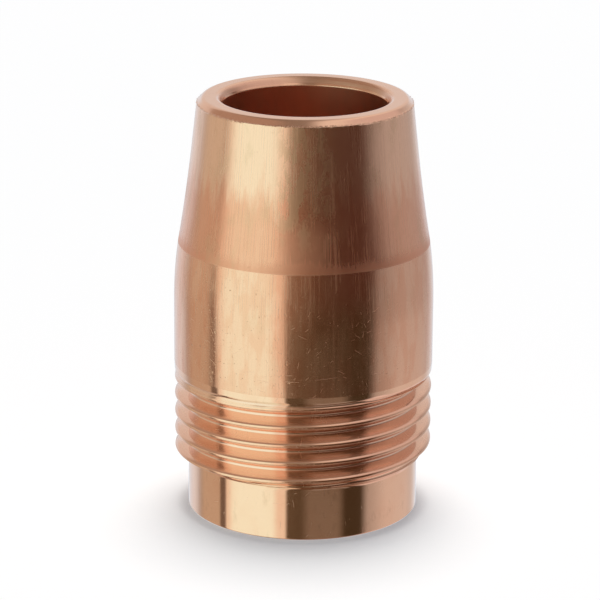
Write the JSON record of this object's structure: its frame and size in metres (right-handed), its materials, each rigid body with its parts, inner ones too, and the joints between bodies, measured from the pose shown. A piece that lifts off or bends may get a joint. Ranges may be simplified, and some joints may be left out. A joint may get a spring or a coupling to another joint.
{
  "type": "mig welding nozzle",
  "caption": "Copper gas nozzle for a welding torch: threaded rear end, plain cylindrical body, and a nose swaged in to a chamfered mouth.",
  "frame": {"origin": "centre of the rear face, on the axis of the bore", "axes": "+Z along the axis, from the threaded rear end to the mouth; X and Y are across it, with the thread's floor crossing +X at 4.16 mm and every 1.814 mm above"},
  "size_m": [0.0254, 0.0254, 0.0413],
  "materials": {
    "copper": "drawn and turned bare copper, fine lengthwise drawing marks on the body, bright turned thread and lip"
  },
  "bodies": {
    "root": {"nozzle_body": "copper"}
  },
  "joints": []
}
